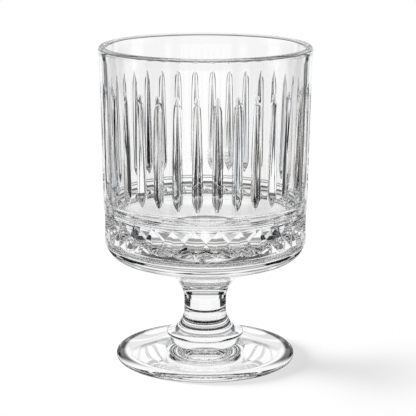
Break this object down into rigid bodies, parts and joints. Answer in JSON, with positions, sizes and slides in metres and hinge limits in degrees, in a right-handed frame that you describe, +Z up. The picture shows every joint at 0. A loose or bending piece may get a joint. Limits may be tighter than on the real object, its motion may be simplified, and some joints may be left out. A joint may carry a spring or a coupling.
{
  "type": "glass goblet",
  "caption": "Stemmed drinking glass: a bucket-shaped bowl with upright cut flutes and a band of sunk points, a short waisted stem and a round foot, in clear pressed glass.",
  "frame": {"origin": "centre of the ring that the foot rests on, at the level of the table", "axes": "+Z up along the axis of the stem and the bowl; -Y is the front that the picture shows"},
  "size_m": [0.0836, 0.0836, 0.126],
  "materials": {
    "clear_glass": "clear, fire-polished"
  },
  "bodies": {
    "root": {"bowl": "clear_glass", "stem": "clear_glass", "foot": "clear_glass"}
  },
  "joints": []
}
